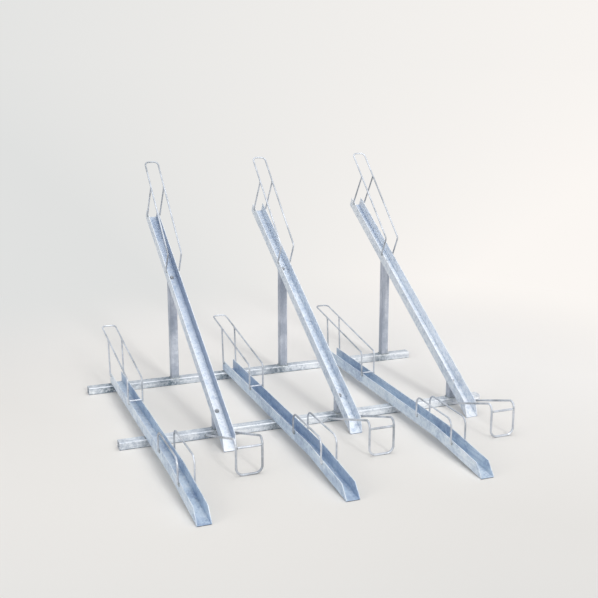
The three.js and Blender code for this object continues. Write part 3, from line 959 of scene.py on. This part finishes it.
def addHighPlace(number):
    random = np.random.default_rng(seeds["high"] + number)
    node = f"high_channel_{number}"
    low, high = (np.array(v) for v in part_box(node))
    middleX = (low[0] + high[0]) / 2
    footY = low[1] + channelSize["mouthLip"] * math.sin(tilt)
    length = (high[1] - footY) / math.cos(tilt)

    def place(points):
        x, y, z = np.asarray(points, float).T
        return np.outer(x, across) + np.outer(y, slopeY) + np.outer(z, slopeZ) + (middleX, footY, 0)

    path = bentPath(place([(0, 0, 0), (0, length, 0)]), [], across)
    addChannel(f"highChannel.{number}", path, "highChannelZinc", highShades[number - 1], node)
    welds = wheelLoop("high", number, place, length, channelSize["height"], highLoop, random)
    for end in rails:
        welds += addPost(end, number, place, middleX, footY, random)
    welds += addStopHoop(number, middleX, random)
    addPiece(f"highWelds.{number}", welds, "weldZinc")


for number in places:
    addHighPlace(number)
print("high places made")

# Floor and backdrop: a pale floor that fades into the backdrop's tone, which is the world's too

studio = dict(
    floorReach=60.0, floorRings=24, floorSides=96, floorRough=0.6, floorSpecular=0.2, fadeSpan=(1.2, 3.1),
    # the floor's two tones and the backdrop's two tones paint light that grows towards +X
    floorLeft="#ebe8e4", floorRight="#fbf8f5", paleTowards=(0.75, 0.66, 0.0), paleSpan=(-0.6, 1.2),
    farLeft="#e0e1e0", farRight="#fbf7f3", farSpan=(0.0, 0.7), ceiling="#e3ebf6", ceilingSpan=(0.25, 0.8),
    lightFrom=(-0.45, -0.45, 0.77), lightSpan=(-0.2, 1.0), lightLow=0.19, lightHigh=0.72,
    worldTint=(0.945, 0.97, 1.0, 1.0),
)


# The pale backdrop's tone, warmer and brighter towards +X as painted light, from a direction's first number
def backdropTone(tree, direction):
    split = addNode(tree, "SeparateXYZ", {"Vector": direction})
    share = mapRange(tree, split.outputs["X"], *studio["farSpan"])
    return mixColours(tree, share, fromHex(studio["farLeft"]), fromHex(studio["farRight"]))


# One for rays from the camera, and for those that metal mirrors or glass lets through
def seenDirectly(tree):
    rays = addNode(tree, "LightPath").outputs
    first = calculate(tree, "MAXIMUM", rays["Is Camera Ray"], rays["Is Glossy Ray"])
    return calculate(tree, "MAXIMUM", first, rays["Is Transmission Ray"])


def floorMaterial():
    material, tree = startMaterial("studioFloor")
    place = addNode(tree, "TexCoord").outputs["Object"]
    distance = combine(tree, "LENGTH", place)["Value"]
    fade = mapRange(tree, distance, *studio["fadeSpan"], interpolation_type="SMOOTHSTEP")
    direction = combine(tree, "NORMALIZE", place)[0]
    far = addNode(tree, "Emission", {"Color": backdropTone(tree, direction)}).outputs[0]
    # painted light: the floor grows paler towards +X
    towards = combine(tree, "DOT_PRODUCT", place, studio["paleTowards"])["Value"]
    paleness = mapRange(tree, towards, *studio["paleSpan"])
    tone = mixColours(tree, paleness, fromHex(studio["floorLeft"]), fromHex(studio["floorRight"]))
    inputs = {"Base Color": tone, "Roughness": studio["floorRough"]}
    inputs["Specular IOR Level"] = studio["floorSpecular"]
    near = addNode(tree, "BsdfPrincipled", inputs).outputs[0]
    share = calculate(tree, "MULTIPLY", fade, seenDirectly(tree))
    surface = addNode(tree, "MixShader", {0: share, 1: near, 2: far}).outputs[0]
    addNode(tree, "OutputMaterial", {"Surface": surface})
    return material


# A disc: ring i has radius floorReach (i / rings) squared, and a fan closes its middle
def addFloor():
    share = np.linspace(0, 1, studio["floorRings"] + 1)[1:, None] ** 2
    angle = wholeTurn(studio["floorSides"])[None, :]
    reach = studio["floorReach"] * share
    grid = np.stack([reach * np.cos(angle), reach * np.sin(angle), np.zeros_like(reach * angle)], -1)
    rows, columns = grid.shape[:2]
    points = np.concatenate([grid.reshape(-1, 3), np.zeros((1, 3))])
    faces = gridFaces(rows, columns).tolist() + fanFaces(0, columns, rows * columns).tolist()
    mesh = bpy.data.meshes.new("floor")
    mesh.from_pydata(points.tolist(), [], faces)
    mesh.materials.append(floorMaterial())
    floor = addObject("floor", mesh)


# What is seen of the world is the backdrop. Its soft light comes mostly from the front left and from above.
def addWorld():
    world = bpy.data.worlds.new("studio")
    world.use_nodes = True
    tree = world.node_tree
    tree.nodes.clear()
    direction = addNode(tree, "TexCoord").outputs["Generated"]
    climb = addNode(tree, "SeparateXYZ", {"Vector": direction}).outputs["Z"]
    upper = mapRange(tree, climb, *studio["ceilingSpan"])
    tone = mixColours(tree, upper, backdropTone(tree, direction), fromHex(studio["ceiling"]))
    seen = addNode(tree, "Background", {"Color": tone}).outputs[0]
    facing = combine(tree, "DOT_PRODUCT", direction, studio["lightFrom"])["Value"]
    strength = mapRange(tree, facing, *studio["lightSpan"], studio["lightLow"], studio["lightHigh"])
    light = addNode(tree, "Background", {"Color": studio["worldTint"], "Strength": strength}).outputs[0]
    surface = addNode(tree, "MixShader", {0: seenDirectly(tree), 1: light, 2: seen}).outputs[0]
    addNode(tree, "OutputWorld", {"Surface": surface})
    bpy.context.scene.world = world


# The sun stands for a lamp far off in front and a little to the right: its shadows fall back and left
lights = {
    "sunLight": dict(
        kind="SUN", place=(2.4, -18.6, 9.0), power=1.05, tint=(1.0, 0.985, 0.955), spread=math.radians(9.5)
    ),
    "topLamp": dict(
        kind="AREA", place=(0.4, -0.4, 5.0), power=90.0, tint=(1.0, 0.99, 0.97), size=(4.2, 3.2)
    ),
    "leftLamp": dict(
        kind="AREA", place=(-4.8, -1.8, 1.8), power=46.0, tint=(1.0, 0.99, 0.98), size=(2.4, 2.4)
    ),
}
lightAim = (0.1, 0.1, 0.3)


def addLight(name, choice):
    light = bpy.data.lights.new(name, choice["kind"])
    light.color, light.energy = choice["tint"], choice["power"]
    if choice["kind"] == "SUN":
        light.angle = choice["spread"]
    else:
        light.shape = "RECTANGLE"
        light.size, light.size_y = choice["size"]
    heading = unit(np.subtract(lightAim, choice["place"]))
    yaw, pitch = math.atan2(heading[0], heading[1]), math.asin(heading[2])
    aim(addObject(name, light), choice["place"], yaw, pitch)


addFloor()
addWorld()
for name, choice in lights.items():
    addLight(name, choice)
bpy.context.scene.view_settings.view_transform = "Standard"
print("studio made")
